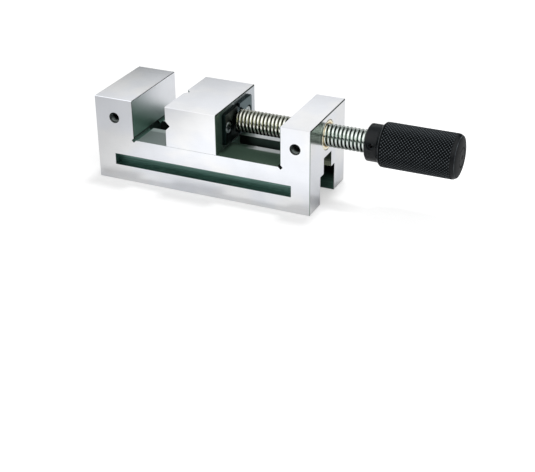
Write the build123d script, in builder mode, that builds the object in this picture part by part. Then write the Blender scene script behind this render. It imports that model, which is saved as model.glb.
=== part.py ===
from build123d import *
import os

# A precision screw vise.
# X runs from the fixed jaw towards the handle, Y runs across the jaws and Z is up.
# The origin lies on the base plane, in the middle of the overall length at rest.

# Body
jaw_width = 50.0
way_height = 25.9
jaw_height = 23.2
fixed_jaw_length = 23.7
channel_length = 88.95
end_block_length = 17.15

# Edge breaks, finer along the ways so that the jaw's joint hardly shows
edge_break = 0.25
way_edge_break = 0.1

# Slot along the underside, wide at the foot and narrow above it
foot_slot_width = 20.6
foot_slot_height = 16.6
guide_slot_width = 11.0

# Clamping slots in both sides
side_slot_end_margin = 10.9
side_slot_bottom = 9.2
side_slot_height = 6.7
side_slot_depth = 5.5

# Square-ended relief grooves in the inner corners of the channel
relief_width = 1.9
relief_reach = 1.2

# Tapped holes for a stop in the sides of the fixed jaw
stop_hole_diameter = 5.0
stop_hole_mouth = 6.2
stop_hole_depth = 12.0

# Movable jaw
movable_jaw_length = 30.85
jaw_opening = 20.3
way_clearance = 0.03
tongue_clearance = 0.03
vee_width = 5.8
vee_above_ways = 12.2

# Lead screw
screw_diameter = 12.6
screw_chamfer = 0.7
neck_diameter = 7.0
screw_head_diameter = 11.5
screw_head_length = 5.0
shank_diameter = 10.0
shank_setback = 0.1
centre_hole_diameter = 1.0
centre_hole_mouth = 2.0
centre_hole_depth = 2.0
running_fit = 0.05
thrust_clearance = 0.05
joint_fit = 0.04
neck_clearance = 0.3
thread_setback = 0.6

# Nut bush and its lock screw
bush_cover = 3.1
bush_chamfer = 0.5
lock_screw_diameter = 5.0
lock_screw_length = 8.0
lock_screw_mouth = 6.2
lock_dog_diameter = 3.5
lock_dog_length = 1.5
lock_socket_size = 2.5
lock_socket_depth = 3.0
thread_clearance = 0.05
tip_clearance = 0.1

# Retainer plates that hold the screw's head in the movable jaw
retainer_width = 34.2
retainer_height = 18.2
retainer_thickness = 6.0
retainer_proud = 2.0
retainer_split = 3.0
retainer_chamfer = 0.3
retainer_corner = 1.2
retainer_relief_diameter = 14.0
retainer_relief_depth = 1.5
pocket_clearance = 0.1
retainer_screw_spacing = 24.6
retainer_screw_diameter = 4.0
retainer_screw_length = 12.0
retainer_head_diameter = 7.0
retainer_head_height = 4.0
retainer_socket_size = 3.0
retainer_recess_diameter = 8.0
head_sink = 0.3
shank_clearance = 0.25

# Hold-down plate under the ways and its screws
hold_down_length = 26.0
hold_down_thickness = 7.0
hold_down_side_gap = 0.3
hold_down_spacing = 15.0
hold_down_screw_diameter = 5.0
hold_down_screw_length = 12.0
hold_down_head_diameter = 8.5
hold_down_head_height = 5.0
hold_down_socket_size = 4.0
hold_down_recess_diameter = 9.5

# Screw details that all cap screws share
head_chamfer = 0.4
socket_depth_share = 0.5

# Handle
collar_diameter = 20.3
collar_length = 6.8
collar_chamfer = 0.9
grip_diameter = 24.3
grip_length = 43.7
grip_end_round = 0.9
grip_crown_height = 1.1
grip_crown_width = 2.6
handle_clearance = 3.3
recess_rim = 0.5

# Spring pin that locks the handle on the screw
pin_diameter = 4.0
pin_bore = 2.4
pin_slit = 0.8
pin_sink = 0.8
pin_from_collar_face = 3.8
pin_tilt = 11.5

# Places along X
body_length = fixed_jaw_length + channel_length + end_block_length
handle_start = body_length + jaw_opening + handle_clearance
handle_length = collar_length + grip_length
overall_length = handle_start + handle_length
body_left = -overall_length / 2
body_right = body_left + body_length
fixed_face = body_left + fixed_jaw_length
end_block_face = body_right - end_block_length
jaw_face = fixed_face + jaw_opening
jaw_back = jaw_face + movable_jaw_length
jaw_middle = jaw_face + movable_jaw_length / 2
collar_face = body_left + handle_start
grip_start = collar_face + collar_length
handle_end = grip_start + grip_length
retainer_face = jaw_back + retainer_proud
retainer_back = retainer_face - retainer_thickness
thread_start = retainer_face + thread_setback
screw_head_back = retainer_back - thrust_clearance
screw_head_front = screw_head_back - screw_head_length
screw_end = handle_end - shank_setback
pin_x = collar_face + pin_from_collar_face

# Places along Z, with the screw at half the height of the jaws
vise_height = way_height + jaw_height
screw_height = way_height + jaw_height / 2
vee_height = way_height + vee_above_ways
jaw_bottom = way_height + way_clearance
hold_down_top = foot_slot_height - way_clearance
hold_down_bottom = hold_down_top - hold_down_thickness

# Diameters that follow from their mating pieces, and the bush from the metal left above and below it
bush_diameter = jaw_height - 2 * bush_cover
bush_bore = screw_diameter + 2 * running_fit
bush_seat = bush_diameter + 2 * joint_fit
head_bore = screw_head_diameter + 2 * running_fit
lock_hole = lock_screw_diameter + 2 * thread_clearance
pin_hole = pin_diameter + 2 * joint_fit
dog_hole = lock_dog_diameter + 2 * shank_clearance

# Side of the square that cuts a vee groove of the given width
vee_side = vee_width / 2**0.5

# The lock screw reaches from the bush outwards
lock_x = body_right - end_block_length / 2
lock_tip = -(bush_diameter / 2 + tip_clearance)
lock_end = lock_tip - lock_screw_length
front_side = -jaw_width / 2

os.makedirs("parts", exist_ok=True)


def axis_plane(x):
    """The plane across the screw axis at a place along X, facing +X."""
    return Plane(origin=(x, 0, screw_height), x_dir=(0, 1, 0), z_dir=(1, 0, 0))


def side_plane(x, y, z):
    """A plane parallel to the sides of the vise that faces away from the middle."""
    return Plane(origin=(x, y, z), x_dir=(1, 0, 0), z_dir=(0, 1 if y > 0 else -1, 0))


# The pin's plane: its front end leans up from the level by the tilt
pin_direction = Vector(0, -1, 0).rotate(Axis.X, -pin_tilt)
pin_plane = Plane(origin=(pin_x, 0, screw_height), x_dir=(1, 0, 0), z_dir=pin_direction)


def finish(piece, label):
    """Labels a finished piece and writes it to its own file."""
    piece.part.label = label
    export_step(piece.part, f"parts/{label}.step")


def cap_screw(seat, diameter, length, head_diameter, head_height, socket_size):
    """A socket-head cap screw whose head stands on the seat plane and points along its normal."""
    with BuildPart() as screw:
        with BuildSketch(seat):
            Circle(head_diameter / 2)
        extrude(amount=head_height)
        top_edge = screw.faces().sort_by(Axis(seat.origin, seat.z_dir))[-1].edges()
        chamfer(top_edge, head_chamfer)
        with BuildSketch(seat):
            Circle(diameter / 2)
        extrude(amount=-length)
        with BuildSketch(seat.offset(head_height)):
            RegularPolygon(socket_size / 2, 6, major_radius=False)
        extrude(amount=-head_height * socket_depth_share, mode=Mode.SUBTRACT)
    return screw


# Body: the fixed jaw, the base and the end block in one piece
with BuildPart() as vise_body:
    with BuildSketch(Plane.XZ):
        with BuildLine():
            Polyline(
                (body_left, 0),
                (body_right, 0),
                (body_right, vise_height),
                (end_block_face, vise_height),
                (end_block_face, way_height),
                (fixed_face, way_height),
                (fixed_face, vise_height),
                (body_left, vise_height),
                close=True,
            )
        make_face()
    extrude(amount=jaw_width / 2, both=True)
    cross_edges = vise_body.edges().filter_by(Axis.Y)
    inner_corners = cross_edges.filter_by_position(Axis.Z, way_height - edge_break, way_height + edge_break)
    long_edges = vise_body.edges().filter_by(Axis.X)
    way_edges = long_edges.filter_by_position(Axis.Z, way_height - edge_break, way_height + edge_break)
    outer_edges = [edge for edge in vise_body.edges() if edge not in inner_corners + way_edges]
    chamfer(outer_edges, edge_break)
    # Relief grooves at the ends of the ways
    with BuildSketch(Plane.XZ):
        for corner_x, turn in ((fixed_face, 45), (end_block_face, -45)):
            with Locations(Location((corner_x, way_height, 0), (0, 0, turn))):
                Rectangle(2 * relief_reach, relief_width)
    extrude(amount=jaw_width / 2, both=True, mode=Mode.SUBTRACT)
    long_edges = vise_body.edges().filter_by(Axis.X)
    way_edges = long_edges.filter_by_position(Axis.Z, way_height - edge_break, way_height + edge_break)
    chamfer(way_edges, way_edge_break)
    # Slot along the underside and the guide slot that opens between the ways
    with BuildSketch(Plane.YZ.offset(body_left)):
        with Locations((0, foot_slot_height / 2)):
            Rectangle(foot_slot_width, foot_slot_height)
        with Locations((0, way_height / 2)):
            Rectangle(guide_slot_width, way_height)
    extrude(amount=body_length, mode=Mode.SUBTRACT)
    # Clamping slots
    for side in (-1, 1):
        slot_middle = body_left + body_length / 2
        slot_plane = side_plane(slot_middle, side * jaw_width / 2, side_slot_bottom + side_slot_height / 2)
        with BuildSketch(slot_plane):
            Rectangle(body_length - 2 * side_slot_end_margin, side_slot_height)
        extrude(amount=-side_slot_depth, mode=Mode.SUBTRACT)
    # Tapped stop holes
    for side in (-1, 1):
        stop_x = body_left + fixed_jaw_length / 2
        with Locations(side_plane(stop_x, side * jaw_width / 2, screw_height)):
            CounterSinkHole(stop_hole_diameter / 2, stop_hole_mouth / 2, stop_hole_depth)
    # Seat of the nut bush and the tapped hole of its lock screw
    with Locations(axis_plane(body_right)):
        Hole(bush_seat / 2, end_block_length)
    with Locations(side_plane(lock_x, front_side, screw_height)):
        CounterSinkHole(lock_hole / 2, lock_screw_mouth / 2, jaw_width / 2)
finish(vise_body, "vise_body")

# Nut bush in the end block
with BuildPart() as nut_bush:
    with BuildSketch(axis_plane(end_block_face)):
        Circle(bush_diameter / 2)
    extrude(amount=end_block_length)
    rims = nut_bush.edges().filter_by(GeomType.CIRCLE)
    chamfer(rims, bush_chamfer)
    with Locations(axis_plane(body_right)):
        Hole(bush_bore / 2, end_block_length)
    with Locations(side_plane(lock_x, -bush_diameter / 2, screw_height)):
        Hole(dog_hole / 2, lock_dog_length)
finish(nut_bush, "nut_bush")

# Lock screw with a dog point that enters the bush
with BuildPart() as nut_lock_screw:
    with BuildSketch(side_plane(lock_x, lock_tip, screw_height)):
        Circle(lock_screw_diameter / 2)
    extrude(amount=lock_screw_length)
    with BuildSketch(side_plane(lock_x, lock_tip, screw_height)):
        Circle(lock_dog_diameter / 2)
    extrude(amount=-lock_dog_length)
    with BuildSketch(side_plane(lock_x, lock_end, screw_height)):
        RegularPolygon(lock_socket_size / 2, 6, major_radius=False)
    extrude(amount=-lock_socket_depth, mode=Mode.SUBTRACT)
finish(nut_lock_screw, "nut_lock_screw")

# Movable jaw with its guide tongue
with BuildPart() as movable_jaw:
    with BuildSketch(Plane.XZ):
        with Locations((jaw_middle, (jaw_bottom + vise_height) / 2)):
            Rectangle(movable_jaw_length, vise_height - jaw_bottom)
    extrude(amount=jaw_width / 2, both=True)
    bottom_edges = movable_jaw.edges().group_by(Axis.Z)[0]
    chamfer([edge for edge in movable_jaw.edges() if edge not in bottom_edges], edge_break)
    with BuildSketch(Plane.XY.offset(hold_down_top)):
        with Locations((jaw_middle, 0)):
            Rectangle(movable_jaw_length - 2 * edge_break, guide_slot_width - 2 * tongue_clearance)
    extrude(amount=jaw_bottom - hold_down_top + edge_break)
    # Level and upright vee grooves in the clamping face
    with BuildSketch(Plane.XZ):
        with Locations(Location((jaw_face, vee_height, 0), (0, 0, 45))):
            Rectangle(vee_side, vee_side)
    extrude(amount=jaw_width / 2, both=True, mode=Mode.SUBTRACT)
    with BuildSketch(Plane.XY.offset(jaw_bottom)):
        with Locations(Location((jaw_face, 0, 0), (0, 0, 45))):
            Rectangle(vee_side, vee_side)
    extrude(amount=vise_height - jaw_bottom, mode=Mode.SUBTRACT)
    # Pocket for the retainer plates, with the bore of the screw's head behind it
    with BuildSketch(axis_plane(jaw_back)):
        RectangleRounded(
            retainer_width + 2 * pocket_clearance,
            retainer_height + 2 * pocket_clearance,
            retainer_corner + pocket_clearance,
        )
    extrude(amount=-(jaw_back - retainer_back), mode=Mode.SUBTRACT)
    with Locations(axis_plane(retainer_back)):
        Hole(head_bore / 2, screw_head_length + 2 * thrust_clearance)
        with GridLocations(retainer_screw_spacing, 0, 2, 1):
            Hole(retainer_screw_diameter / 2 + thread_clearance, retainer_screw_length)
    # Tapped holes of the hold-down screws
    with Locations(Plane(origin=(jaw_middle, 0, hold_down_top), x_dir=(1, 0, 0), z_dir=(0, 0, -1))):
        with GridLocations(hold_down_spacing, 0, 2, 1):
            Hole(hold_down_screw_diameter / 2 + thread_clearance, hold_down_screw_length)
finish(movable_jaw, "movable_jaw")

# Retainer plates: two halves that close round the neck of the screw
retainer_head_seat = retainer_face - head_sink - retainer_head_height
for side, side_name in ((-1, "front"), (1, "rear")):
    half_width = (retainer_width - retainer_split) / 2
    half_middle = side * (retainer_split + half_width) / 2
    screw_y = side * retainer_screw_spacing / 2
    with BuildPart() as retainer_plate:
        with BuildSketch(axis_plane(retainer_back)):
            with Locations((half_middle, 0)):
                Rectangle(half_width, retainer_height)
        extrude(amount=retainer_thickness)
        long_edges = retainer_plate.edges().filter_by(Axis.X)
        fillet(long_edges.group_by(Axis.Y)[0 if side < 0 else -1], retainer_corner)
        outer_face = retainer_plate.faces().sort_by(Axis.X)[-1]
        split_edge = outer_face.edges().sort_by(Axis.Y)[0 if side > 0 else -1]
        chamfer([edge for edge in outer_face.edges() if edge != split_edge], retainer_chamfer)
        with Locations(axis_plane(retainer_face)):
            CounterBoreHole(
                neck_diameter / 2 + neck_clearance,
                retainer_relief_diameter / 2,
                retainer_relief_depth,
                retainer_thickness,
            )
            with Locations((screw_y, 0)):
                CounterBoreHole(
                    retainer_screw_diameter / 2 + shank_clearance,
                    retainer_recess_diameter / 2,
                    retainer_head_height + head_sink,
                    retainer_thickness,
                )
    finish(retainer_plate, f"retainer_plate_{side_name}")
    retainer_seat = Plane(
        origin=(retainer_head_seat, screw_y, screw_height), x_dir=(0, 1, 0), z_dir=(1, 0, 0)
    )
    retainer_screw = cap_screw(
        retainer_seat,
        retainer_screw_diameter,
        retainer_screw_length,
        retainer_head_diameter,
        retainer_head_height,
        retainer_socket_size,
    )
    finish(retainer_screw, f"retainer_screw_{side_name}")

# Hold-down plate under the shoulders of the foot slot
with BuildPart() as hold_down_plate:
    with BuildSketch(Plane.XY.offset(hold_down_bottom)):
        with Locations((jaw_middle, 0)):
            Rectangle(hold_down_length, foot_slot_width - 2 * hold_down_side_gap)
    extrude(amount=hold_down_thickness)
    chamfer(hold_down_plate.edges().filter_by(Axis.Z), edge_break)
    with Locations(Plane(origin=(jaw_middle, 0, hold_down_bottom), x_dir=(1, 0, 0), z_dir=(0, 0, -1))):
        with GridLocations(hold_down_spacing, 0, 2, 1):
            CounterBoreHole(
                hold_down_screw_diameter / 2 + shank_clearance,
                hold_down_recess_diameter / 2,
                hold_down_head_height + head_sink,
                hold_down_thickness,
            )
finish(hold_down_plate, "hold_down_plate")

# Hold-down screws, put in from below
hold_down_head_seat = hold_down_bottom + head_sink + hold_down_head_height
for side, side_name in ((-1, "left"), (1, "right")):
    hold_down_seat = Plane(
        origin=(jaw_middle + side * hold_down_spacing / 2, 0, hold_down_head_seat),
        x_dir=(1, 0, 0),
        z_dir=(0, 0, -1),
    )
    hold_down_screw = cap_screw(
        hold_down_seat,
        hold_down_screw_diameter,
        hold_down_screw_length,
        hold_down_head_diameter,
        hold_down_head_height,
        hold_down_socket_size,
    )
    finish(hold_down_screw, f"hold_down_screw_{side_name}")

# Lead screw: head, neck, threaded length and the shank inside the handle
with BuildPart() as lead_screw:
    with BuildSketch(Plane.XZ.shift_origin((0, 0, screw_height))):
        with BuildLine():
            Polyline(
                (screw_head_front, 0),
                (screw_head_front, screw_head_diameter / 2),
                (screw_head_back, screw_head_diameter / 2),
                (screw_head_back, neck_diameter / 2),
                (thread_start, neck_diameter / 2),
                (thread_start, screw_diameter / 2 - screw_chamfer),
                (thread_start + screw_chamfer, screw_diameter / 2),
                (collar_face, screw_diameter / 2),
                (collar_face, shank_diameter / 2),
                (screw_end, shank_diameter / 2),
                (screw_end, 0),
                close=True,
            )
        make_face()
    revolve(axis=Axis((0, 0, screw_height), (1, 0, 0)))
    with Locations(axis_plane(screw_end)):
        CounterSinkHole(centre_hole_diameter / 2, centre_hole_mouth / 2, centre_hole_depth)
    with BuildSketch(pin_plane):
        Circle(pin_hole / 2)
    extrude(amount=collar_diameter, both=True, mode=Mode.SUBTRACT)
finish(lead_screw, "lead_screw")

# Handle with its smooth collar and the grip
with BuildPart() as handle:
    with BuildSketch(Plane.XZ.shift_origin((0, 0, screw_height))):
        with BuildLine():
            Polyline(
                (collar_face, 0),
                (collar_face, collar_diameter / 2 - collar_chamfer),
                (collar_face + collar_chamfer, collar_diameter / 2),
                (grip_start, collar_diameter / 2),
                (grip_start + (grip_diameter - collar_diameter) / 2, grip_diameter / 2),
                (handle_end - grip_crown_height - grip_end_round, grip_diameter / 2),
                (handle_end - grip_crown_height, grip_diameter / 2 - grip_end_round),
                (handle_end, grip_diameter / 2 - grip_end_round - grip_crown_width),
                (handle_end, 0),
                close=True,
            )
        make_face()
    revolve(axis=Axis((0, 0, screw_height), (1, 0, 0)))
    with Locations(axis_plane(handle_end)):
        CounterSinkHole(
            shank_diameter / 2 + joint_fit,
            shank_diameter / 2 + joint_fit + recess_rim,
            handle_length,
        )
    with BuildSketch(pin_plane):
        Circle(pin_hole / 2)
    extrude(amount=collar_diameter, both=True, mode=Mode.SUBTRACT)
finish(handle, "handle")

# Spring pin
with BuildPart() as handle_pin:
    with BuildSketch(pin_plane):
        Circle(pin_diameter / 2)
        Circle(pin_bore / 2, mode=Mode.SUBTRACT)
        with Locations((pin_diameter / 2, 0)):
            Rectangle(pin_diameter, pin_slit, mode=Mode.SUBTRACT)
    extrude(amount=collar_diameter / 2 - pin_sink, both=True)
finish(handle_pin, "handle_pin")
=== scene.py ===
from math import atan2, cos, pi, radians, sin, tau

import bmesh
import bpy
from mathutils import Matrix, Vector


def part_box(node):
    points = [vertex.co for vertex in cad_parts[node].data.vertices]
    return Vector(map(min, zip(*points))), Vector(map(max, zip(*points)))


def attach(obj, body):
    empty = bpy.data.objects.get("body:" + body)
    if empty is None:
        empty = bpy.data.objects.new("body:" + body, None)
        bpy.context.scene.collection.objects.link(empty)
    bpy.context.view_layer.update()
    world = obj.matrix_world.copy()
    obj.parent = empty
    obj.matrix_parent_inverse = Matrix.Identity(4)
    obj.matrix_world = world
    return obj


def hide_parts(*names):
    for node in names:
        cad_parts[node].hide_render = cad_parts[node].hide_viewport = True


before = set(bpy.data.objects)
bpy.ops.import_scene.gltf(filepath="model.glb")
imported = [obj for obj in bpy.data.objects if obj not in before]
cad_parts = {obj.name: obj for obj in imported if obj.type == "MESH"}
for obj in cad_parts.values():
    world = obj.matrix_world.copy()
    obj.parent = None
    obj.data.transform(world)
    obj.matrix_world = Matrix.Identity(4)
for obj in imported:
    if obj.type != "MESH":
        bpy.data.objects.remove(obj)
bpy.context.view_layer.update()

MM = 0.001

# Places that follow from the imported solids
body_low, body_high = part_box("vise_body")
jaw_low, jaw_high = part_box("movable_jaw")
handle_low, handle_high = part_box("handle")
head_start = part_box("lead_screw")[0][0]
plate_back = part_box("retainer_plate_front")[1][0]
screw_z = (handle_low[2] + handle_high[2]) / 2
half_width = body_high[1]
body_left, body_right, body_top = body_low[0], body_high[0], body_high[2]
jaw_face, jaw_back, jaw_top = jaw_low[0], jaw_high[0], jaw_high[2]
collar_face, handle_end = handle_low[0], handle_high[0]

# Sizes that the boxes do not give
FIXED_JAW_LENGTH = 23.7 * MM
END_BLOCK_LENGTH = 17.15 * MM
WAY_HEIGHT = 25.9 * MM
EDGE = 0.30 * MM
RELIEF_REACH = 1.75 * MM
FOOT_SLOT_HEIGHT = 16.6 * MM
SIDE_SLOT_FLOOR = 15.0 * MM
GUIDE_HALF_WIDTH = 9.5 * MM
HOLE_MOUTH = 3.15 * MM
BUSH_OUTER, BUSH_INNER = 8.65 * MM, 6.9 * MM
CREST = 6.3 * MM
GRIP_RADIUS = 12.15 * MM
COLLAR_RADIUS = 10.15 * MM
fixed_face = body_left + FIXED_JAW_LENGTH
end_block_face = body_right - END_BLOCK_LENGTH
stop_hole_x = body_left + FIXED_JAW_LENGTH / 2
lock_hole_x = body_right - END_BLOCK_LENGTH / 2


# Node helpers

# Ways that a normal can lean: axis and sign
TO_RIGHT, TO_FRONT, TO_UP = (0, 1.0), (1, -1.0), (2, 1.0)
# Two parts of a chamfer's normal add up to 1.41, and those of a face to 1 at most
CHAMFER_LEAN = 1.2


class Nodes:
    """A node tree that is written in short calls."""

    def __init__(self, tree, output):
        self.tree = tree
        tree.nodes.clear()
        self.output = tree.nodes.new(output)

    def link(self, value, socket):
        """Links a socket, or sets a number, vector or colour."""
        if isinstance(value, bpy.types.NodeSocket):
            self.tree.links.new(value, socket)
        elif socket.type == "RGBA":
            socket.default_value = (*value, 1.0)
        else:
            socket.default_value = value

    def new(self, kind, *values, operation=None, **named):
        """A node whose inputs are given in order or by name."""
        node = self.tree.nodes.new(kind)
        if operation:
            node.operation = operation
        for value, socket in zip(values, node.inputs):
            self.link(value, socket)
        for name, value in named.items():
            self.link(value, node.inputs[name.replace("_", " ")])
        return node

    def surface(self, node):
        """Ends the tree in a node."""
        self.tree.links.new(node.outputs[0], self.output.inputs["Surface"])

    def math(self, operation, *values):
        return self.new("ShaderNodeMath", *values, operation=operation).outputs[0]

    def add(self, a, b):
        return self.math("ADD", a, b)

    def minus(self, a, b):
        return self.math("SUBTRACT", a, b)

    def times(self, a, b):
        return self.math("MULTIPLY", a, b)

    def scale_add(self, value, factor, start):
        """The value times the factor, plus the start."""
        return self.math("MULTIPLY_ADD", value, factor, start)

    def size(self, value):
        return self.math("ABSOLUTE", value)

    def above(self, value, limit):
        return self.math("GREATER_THAN", value, limit)

    def below(self, value, limit):
        return self.math("LESS_THAN", value, limit)

    def near(self, value, place, reach):
        return self.math("COMPARE", value, place, reach)

    def both(self, first, *others):
        """Several masks at once."""
        for mask in others:
            first = self.times(first, mask)
        return first

    def either(self, first, *others):
        """The largest of several masks."""
        for mask in others:
            first = self.math("MAXIMUM", first, mask)
        return first

    def lacks(self, mask):
        return self.minus(1.0, mask)

    def step(self, value, low, high, to_low=0.0, to_high=1.0):
        """A soft step from one value to another."""
        node = self.new(
            "ShaderNodeMapRange", Value=value, From_Min=low, From_Max=high, To_Min=to_low, To_Max=to_high
        )
        node.interpolation_type = "SMOOTHSTEP"
        return node.outputs[0]

    def ray(self, kind):
        """1 for rays of a kind."""
        return self.new("ShaderNodeLightPath").outputs[f"Is {kind} Ray"]


class Shader(Nodes):
    """A material, with the place and normal of a point, textures and colour mixes."""

    def __init__(self, name):
        self.material = bpy.data.materials.new(name)
        self.material.use_nodes = True
        super().__init__(self.material.node_tree, "ShaderNodeOutputMaterial")
        place = self.new("ShaderNodeTexCoord")
        self.position = place.outputs["Object"]
        self.x, self.y, self.z = self.split(self.position)
        self.facing = self.split(place.outputs["Normal"])
        self.off_middle = self.size(self.y)

    def split(self, vector):
        return self.new("ShaderNodeSeparateXYZ", vector).outputs[:3]

    def length(self, vector):
        return self.new("ShaderNodeVectorMath", vector, operation="LENGTH").outputs["Value"]

    def stretched(self, scale, turn=(0, 0, 0)):
        """The place, scaled along each axis and turned."""
        return self.new("ShaderNodeMapping", Vector=self.position, Scale=scale, Rotation=turn).outputs[0]

    def noise(self, vector, scale=1.0, detail=3.0, roughness=0.5):
        node = self.new("ShaderNodeTexNoise", Vector=vector, Scale=scale, Detail=detail, Roughness=roughness)
        return node.outputs[0]

    def mix(self, factor, a, b):
        """Colour a where the factor is 0, and colour b where it is 1."""
        node = self.tree.nodes.new("ShaderNodeMix")
        node.data_type = "RGBA"
        for value, socket in ((factor, node.inputs[0]), (a, node.inputs[6]), (b, node.inputs[7])):
            self.link(value, socket)
        return node.outputs[2]

    def dim(self, color, factor):
        """A colour times a factor."""
        node = self.new("ShaderNodeVectorMath", operation="SCALE", Vector=color, Scale=factor)
        return node.outputs[0]

    def from_screw(self):
        """Height over the screw's axis, and distance from it."""
        rise = self.minus(self.z, screw_z)
        square = self.add(self.times(self.y, self.y), self.times(rise, rise))
        return rise, self.math("SQRT", square)

    def toward(self, first, second):
        """1 on a chamfer whose normal leans equally to two ways."""
        total = self.times(self.facing[first[0]], first[1])
        total = self.scale_add(self.facing[second[0]], second[1], total)
        return self.above(total, CHAMFER_LEAN)

    def dim_where(self, color, mask, factor):
        """Dims a colour by a factor where the mask is 1."""
        return self.dim(color, self.scale_add(mask, factor - 1.0, 1.0))

    def bump(self, height, strength, distance):
        return self.new("ShaderNodeBump", Height=height, Strength=strength, Distance=distance).outputs[0]

    def principled(self, color, metallic, roughness, normal, **settings):
        """Ends the material in one shader. What the settings name stays the same all over."""
        node = self.new(
            "ShaderNodeBsdfPrincipled",
            Base_Color=color, Metallic=metallic, Roughness=roughness, Normal=normal, **settings
        )
        self.surface(node)
        return self.material


# Materials

OUTER_STEEL = (0.910, 0.915, 0.925)
COOL_STEEL = (0.850, 0.870, 0.915)
# Painted shade and light on the ways in the channel, which are the same steel as the outside
LEFT_WAY_SHADE = (0.375, 0.435, 0.425)
CHANNEL_SHADE = (0.068, 0.114, 0.084)
CHANNEL_LIGHT = (0.56, 0.60, 0.605)
# Painted light on the guide slot's wall and low in its end, painted shade above
GUIDE_WALL_LIGHT = (0.15, 0.235, 0.205)
GUIDE_SHADE = (0.012, 0.013, 0.010)
GUIDE_END_LIGHT = (0.60, 0.66, 0.49)
GUIDE_END_SHADE = (0.055, 0.085, 0.062)
# The inner faces: lit steel, with painted shade over their lower front
INNER_FACE_STEEL = (0.90, 0.92, 0.96)
INNER_FACE_SHADE = (0.13, 0.245, 0.195)
# Painted shade in the slots, with painted light low in the foot slot
FOOT_SLOT_LIGHT = (0.10, 0.19, 0.155)
SLOT_SHADE = (0.075, 0.125, 0.108)
SIDE_SLOT_SHADE = (0.17, 0.28, 0.25)
GROOVE_LIGHT = (0.095, 0.20, 0.16)
# Painted reflection of the screw on the end face
SCREW_REFLECTION = (0.38, 0.44, 0.39)
# Painted shade in a narrow strip along the end face's front edge
BRINK_SHADE = (0.40, 0.47, 0.43)
# Painted shade along the top edges at the right end
TOP_EDGE_SHADE = (0.035, 0.055, 0.045)
# Painted shade on the small chamfers
LEFT_BREAK_SHADE, RIGHT_BREAK_SHADE = (0.030, 0.050, 0.040), (0.30, 0.37, 0.33)
# Painted light and shade in the side holes
BORE_SIDE_LIGHT, BORE_FLOOR_LIGHT = (0.19, 0.24, 0.23), (0.88, 0.98, 0.95)
BORE_MOUTH_SHADE = (0.02, 0.028, 0.026)
SHADE = (0.006, 0.009, 0.008)

# Painted shade inside the jaw, on the front of its back and along its dark edges
JAW_INSIDE_SHADE = (0.17, 0.29, 0.235)
JAW_BACK_SHADE, JAW_BACK_LIT = (0.062, 0.115, 0.085), (0.57, 0.605, 0.64)
JAW_TOP_EDGE_SHADE = (0.025, 0.045, 0.035)
JAW_BREAK_SHADE = (0.09, 0.145, 0.11)

# The bush's pale end face is a painted highlight
BRONZE_FACE_HIGHLIGHT, BRONZE_EDGE, BRONZE_DARK_EDGE = (0.97, 0.90, 0.70), (0.62, 0.42, 0.15), (0.45, 0.29, 0.10)
# Plates: painted shade on the front, lit blue-grey at the rear
PLATE_LIT, PLATE_CLOUD, PLATE_SHADE = (0.100, 0.146, 0.158), (0.078, 0.116, 0.128), (0.009, 0.019, 0.018)
BLACK, BLACK_CLOUD = (0.0050, 0.0066, 0.0080), (0.0085, 0.0105, 0.0125)
# Wear, and a painted highlight, on the handle's edges
WORN_TIP, WORN_EDGE_HIGHLIGHT = (0.135, 0.155, 0.170), (0.11, 0.125, 0.135)

ROUGH_OUTSIDE, ROUGH_INSIDE = 0.10, 0.42
STROKES_ALONG, STROKES_ACROSS = (60, 5200, 5200), (2600, 90, 2600)
LATHE_RINGS = (2600, 40, 40)
FINE_BUMP = 0.02 * MM
CROWN_DEPTH = 0.8 * MM
FACE_DEPTH = 0.1 * MM
BRINK_WIDTH = 0.5 * MM
UPPER_EDGE_SHADE, JAW_UPPER_EDGE_SHADE = 0.93, 0.78
GUIDE_END_REACH = 12.0 * MM
WAY_REACH, WAY_FACING_UP = 0.5 * MM, 0.4
SHARE_MARGIN = 4 * MM
BORE_REACH = 8.0 * MM
PATCH_SCALE = 240.0
# Where one tone gives way to the next
LIT_SLANT, LIT_RANGE = 1.7, (-4.0 * MM, 34.0 * MM)
JAW_LIT_RANGE = (-24.0 * MM, 22.0 * MM)
PLATE_LIT_RANGE = (-1.8 * MM, 0.3 * MM)
SCREW_REFLECTION_SLANT, SCREW_REFLECTION_RANGE, SCREW_REFLECTION_START = 0.47, (5.2 * MM, 7.8 * MM), -7.0 * MM
FOOT_FADE, GUIDE_END_FADE = (4.0 * MM, 11.0 * MM), (0.5 * MM, 5.0 * MM)
WALL_LIGHT_START, WALL_LIGHT_RISE = (3 * MM, 11 * MM), (18.5 * MM, 24.5 * MM)
WAY_STRIP_EDGE = (8.6 * MM, 10.4 * MM)
FRONT_LIGHT_START, REAR_LIGHT_START = (9 * MM, 17 * MM), (0.0, 13 * MM)
BORE_LIGHT_START, BORE_MOUTH_SHADE_START = (20.6 * MM, 22.6 * MM), (23.9 * MM, 24.3 * MM)


def steel_finish(s, color, smooth, metal):
    """Fine strokes along X and a soft mottle on a steel whose tone is given."""
    strokes = s.noise(s.stretched(STROKES_ALONG), detail=4.0, roughness=0.6)
    cross = s.noise(s.stretched(STROKES_ACROSS), roughness=0.6)
    mottle = s.noise(s.position, scale=55.0, roughness=0.55)
    tone = s.scale_add(s.step(mottle, 0.35, 0.65), 0.04, 0.96)
    tone = s.times(tone, s.scale_add(strokes, 0.10, 0.95))
    gloss = s.scale_add(smooth, ROUGH_OUTSIDE - ROUGH_INSIDE, ROUGH_INSIDE - 0.04)
    gloss = s.scale_add(strokes, 0.08, gloss)
    height = s.scale_add(cross, 0.35, strokes)
    return s.principled(s.dim(color, tone), metal, gloss, s.bump(height, 0.045, FINE_BUMP))


def outer_steel(s):
    """The bright outside, with faint cooler clouds."""
    clouds = s.noise(s.stretched((1, 1, 1.6), (0.3, 0.5, 0.2)), scale=38.0, detail=2.0)
    return s.mix(s.step(clouds, 0.38, 0.62), OUTER_STEEL, COOL_STEEL)


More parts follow.
